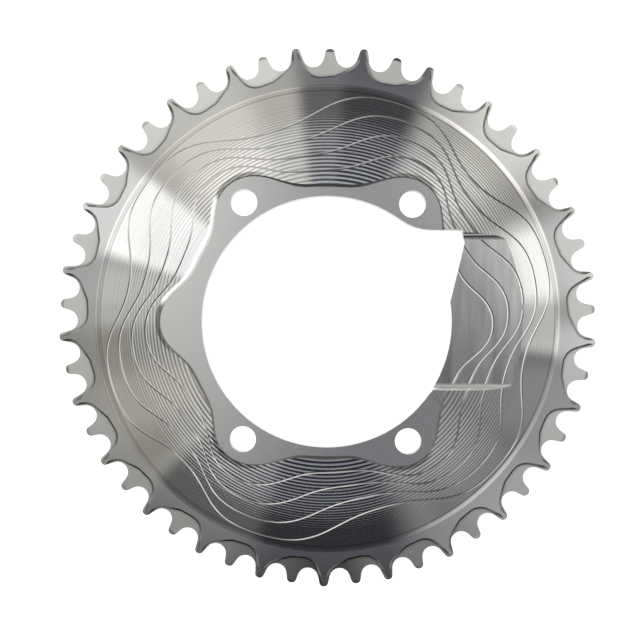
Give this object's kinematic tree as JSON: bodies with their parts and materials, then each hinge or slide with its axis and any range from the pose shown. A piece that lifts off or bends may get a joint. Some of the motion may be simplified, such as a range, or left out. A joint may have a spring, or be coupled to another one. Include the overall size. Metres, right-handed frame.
{
  "type": "bicycle chainring",
  "caption": "One-piece aluminium road chainring with alternating wide and narrow teeth, domed outer face with engraved wave lines, bolt tabs and a crank arm relief.",
  "frame": {"origin": "on the ring axis, at the plane of the inboard tooth faces on which the ring lies", "axes": "+Z outboard along the ring axis, +X along the crank arm, +Y at right angles to it"},
  "size_m": [0.2082, 0.208, 0.0117],
  "materials": {
    "machined_aluminium": "satin, with fine concentric tool marks on the dome"
  },
  "bodies": {
    "root": {"chainring": "machined_aluminium"}
  },
  "joints": []
}
